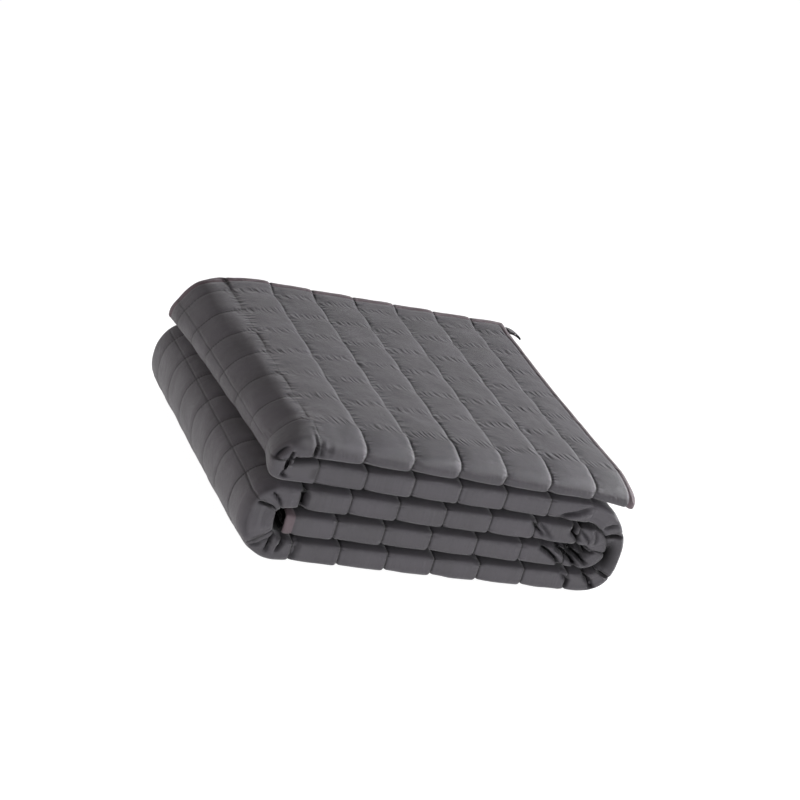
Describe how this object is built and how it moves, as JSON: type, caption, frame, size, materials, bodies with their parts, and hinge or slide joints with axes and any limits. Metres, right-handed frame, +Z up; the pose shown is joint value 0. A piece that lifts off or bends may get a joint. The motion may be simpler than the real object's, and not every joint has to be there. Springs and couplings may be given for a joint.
{
  "type": "folded weighted blanket",
  "caption": "Quilted weighted blanket, folded in half twice and then into a flat stack of layers, with a small tape loop at one corner.",
  "frame": {"origin": "middle of the part's bounding box, on the surface that the folded blanket rests on", "axes": "+Z up; -Y is the near side, where every layer ends in a rounded fold; +Y the far side with the long hems; +X the side of the open hem end, which lies on top"},
  "size_m": [0.4186, 0.373, 0.1485],
  "materials": {
    "blanket_fabric": "charcoal grey, soft satin weave, quilted",
    "loop_tape": "black woven tape, matte"
  },
  "bodies": {
    "root": {"blanket": "blanket_fabric", "corner_loop": "loop_tape"}
  },
  "joints": []
}
